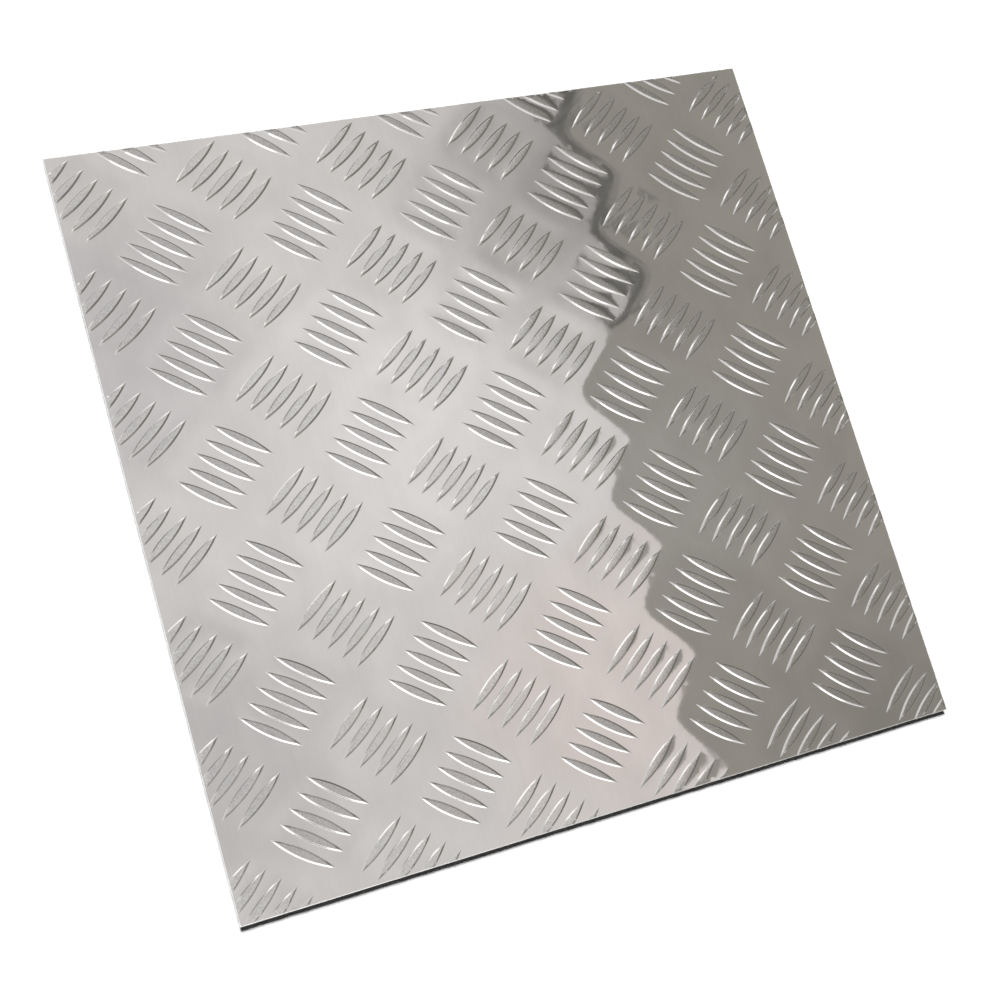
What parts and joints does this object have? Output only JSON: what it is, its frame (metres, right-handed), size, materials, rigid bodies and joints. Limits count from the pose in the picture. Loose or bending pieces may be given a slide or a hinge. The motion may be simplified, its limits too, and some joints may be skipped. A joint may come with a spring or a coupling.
{
  "type": "aluminium checker plate",
  "caption": "Flat square off-cut of rolled aluminium checker plate, with groups of raised lens-shaped treads laid alternately at right angles for grip.",
  "frame": {"origin": "middle of the sheet's flat underside", "axes": "+Z out of the treaded face, +X across the rolling direction, +Y along the rolling direction"},
  "size_m": [0.3, 0.3, 0.0037],
  "materials": {
    "mill_aluminium": "semi-bright mill finish"
  },
  "bodies": {
    "root": {"tread_plate": "mill_aluminium"}
  },
  "joints": []
}
